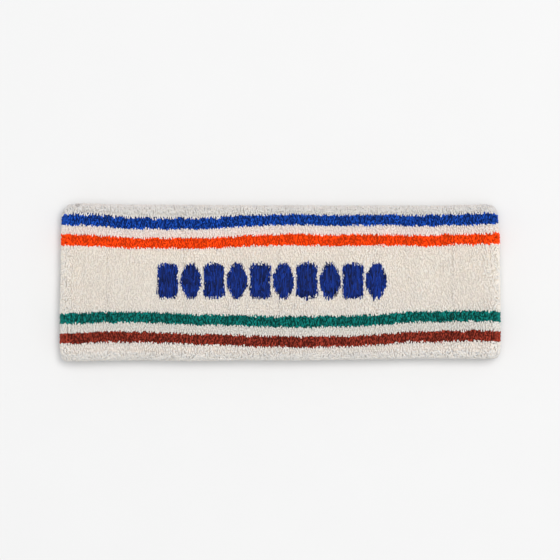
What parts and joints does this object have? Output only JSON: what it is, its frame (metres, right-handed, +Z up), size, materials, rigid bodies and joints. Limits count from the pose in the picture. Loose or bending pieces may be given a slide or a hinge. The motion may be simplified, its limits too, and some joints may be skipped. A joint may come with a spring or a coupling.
{
  "type": "sports headband",
  "caption": "Stretchy terry sports headband, a double-layer loop with an inner elastic, striped edges and a satin-stitch motif. It lies flat and opens to round.",
  "frame": {"origin": "middle of the back panel's outer face, on the ground, with the loop lying flat", "axes": "+X along the flat band, to the right as the front is looked at, +Y towards the band's upper edge, +Z up through the two panels"},
  "size_m": [0.176, 0.062, 0.0123],
  "materials": {
    "terry": "cream cotton terry loops, matt",
    "stripe_blue": "blue cotton terry loops, matt",
    "stripe_orange": "orange cotton terry loops, matt",
    "stripe_green": "green cotton terry loops, matt",
    "stripe_brown": "brown cotton terry loops, matt",
    "elastic": "flat woven elastic, off-white",
    "seam_thread": "linked closing thread, cream",
    "embroidery": "navy rayon satin stitch, slight sheen",
    "backing": "non-woven embroidery backing, white",
    "label": "blank woven satin, white"
  },
  "bodies": {
    "back_centre": {"terry_back_centre": "terry", "elastic_back_centre": "elastic", "seam_back_centre": "seam_thread", "care_label": "label"},
    "back_right_inner": {"terry_back_right_inner": "terry", "elastic_back_right_inner": "elastic", "seam_back_right_inner": "seam_thread"},
    "back_right_outer": {"terry_back_right_outer": "terry", "elastic_back_right_outer": "elastic", "seam_back_right_outer": "seam_thread"},
    "right_fold": {"terry_right_fold": "terry", "elastic_right_fold": "elastic", "seam_right_fold": "seam_thread"},
    "front_right_outer": {"terry_front_right_outer": "terry", "elastic_front_right_outer": "elastic", "seam_front_right_outer": "seam_thread"},
    "front_right_inner": {"terry_front_right_inner": "terry", "elastic_front_right_inner": "elastic", "seam_front_right_inner": "seam_thread", "backing_front_right_inner": "backing", "embroidery_9": "embroidery", "embroidery_10": "embroidery"},
    "front_centre": {"terry_front_centre": "terry", "elastic_front_centre": "elastic", "seam_front_centre": "seam_thread", "backing_front_centre": "backing", "embroidery_4": "embroidery", "embroidery_5": "embroidery", "embroidery_6": "embroidery", "embroidery_7": "embroidery", "embroidery_8": "embroidery"},
    "front_left_inner": {"terry_front_left_inner": "terry", "elastic_front_left_inner": "elastic", "seam_front_left_inner": "seam_thread", "backing_front_left_inner": "backing", "embroidery_1": "embroidery", "embroidery_2": "embroidery", "embroidery_3": "embroidery"},
    "front_left_outer": {"terry_front_left_outer": "terry", "elastic_front_left_outer": "elastic", "seam_front_left_outer": "seam_thread"},
    "left_fold": {"terry_left_fold": "terry", "elastic_left_fold": "elastic", "seam_left_fold": "seam_thread"},
    "back_left_end": {"terry_back_left_end": "terry", "elastic_back_left_end": "elastic", "seam_back_left_end": "seam_thread"},
    "back_left_outer": {"terry_back_left_outer": "terry", "elastic_back_left_outer": "elastic", "seam_back_left_outer": "seam_thread"},
    "back_left_inner": {"terry_back_left_inner": "terry", "elastic_back_left_inner": "elastic", "seam_back_left_inner": "seam_thread"}
  },
  "joints": [
    {"name": "open_loop", "type": "hinge", "parent": "back_centre", "child": "back_right_inner", "pos_m": [0.0231, 0, 0.0027], "axis": [0, -1, 0], "range_deg": [0, 40]},
    {"name": "bend_back_right", "type": "hinge", "parent": "back_right_inner", "child": "back_right_outer", "pos_m": [0.053, 0, 0.0027], "axis": [0, -1, 0], "range_deg": [0, 30]},
    {"name": "unfold_right_lower", "type": "hinge", "parent": "back_right_outer", "child": "right_fold", "pos_m": [0.08433, 0, 0.00367], "axis": [0, 1, 0], "range_deg": [0, 70]},
    {"name": "unfold_right_upper", "type": "hinge", "parent": "right_fold", "child": "front_right_outer", "pos_m": [0.08433, 0, 0.00833], "axis": [0, 1, 0], "range_deg": [0, 70]},
    {"name": "bend_front_right_outer", "type": "hinge", "parent": "front_right_outer", "child": "front_right_inner", "pos_m": [0.053, 0, 0.0093], "axis": [0, -1, 0], "range_deg": [0, 30]},
    {"name": "bend_front_right_inner", "type": "hinge", "parent": "front_right_inner", "child": "front_centre", "pos_m": [0.0231, 0, 0.0093], "axis": [0, -1, 0], "range_deg": [0, 40]},
    {"name": "bend_front_left_inner", "type": "hinge", "parent": "front_centre", "child": "front_left_inner", "pos_m": [-0.0231, 0, 0.0093], "axis": [0, -1, 0], "range_deg": [0, 40]},
    {"name": "bend_front_left_outer", "type": "hinge", "parent": "front_left_inner", "child": "front_left_outer", "pos_m": [-0.053, 0, 0.0093], "axis": [0, -1, 0], "range_deg": [0, 30]},
    {"name": "unfold_left_upper", "type": "hinge", "parent": "front_left_outer", "child": "left_fold", "pos_m": [-0.08433, 0, 0.00833], "axis": [0, 1, 0], "range_deg": [0, 70]},
    {"name": "unfold_left_lower", "type": "hinge", "parent": "left_fold", "child": "back_left_end", "pos_m": [-0.08433, 0, 0.00367], "axis": [0, 1, 0], "range_deg": [0, 70]},
    {"name": "bend_back_left_inner", "type": "hinge", "parent": "back_centre", "child": "back_left_inner", "pos_m": [-0.0231, 0, 0.0027], "axis": [0, 1, 0], "range_deg": [0, 40]},
    {"name": "bend_back_left_outer", "type": "hinge", "parent": "back_left_inner", "child": "back_left_outer", "pos_m": [-0.053, 0, 0.0027], "axis": [0, 1, 0], "range_deg": [0, 30]}
  ],
  "couplings": [
    {"joint": "bend_back_right", "follows": "open_loop", "ratio": 0.75},
    {"joint": "unfold_right_lower", "follows": "open_loop", "ratio": 1.75},
    {"joint": "unfold_right_upper", "follows": "open_loop", "ratio": 1.75},
    {"joint": "bend_front_right_outer", "follows": "open_loop", "ratio": 0.75},
    {"joint": "bend_front_right_inner", "follows": "open_loop", "ratio": 1},
    {"joint": "bend_front_left_inner", "follows": "open_loop", "ratio": 1},
    {"joint": "bend_front_left_outer", "follows": "open_loop", "ratio": 0.75},
    {"joint": "unfold_left_upper", "follows": "open_loop", "ratio": 1.75},
    {"joint": "unfold_left_lower", "follows": "open_loop", "ratio": 1.75},
    {"joint": "bend_back_left_inner", "follows": "open_loop", "ratio": 1},
    {"joint": "bend_back_left_outer", "follows": "open_loop", "ratio": 0.75}
  ]
}
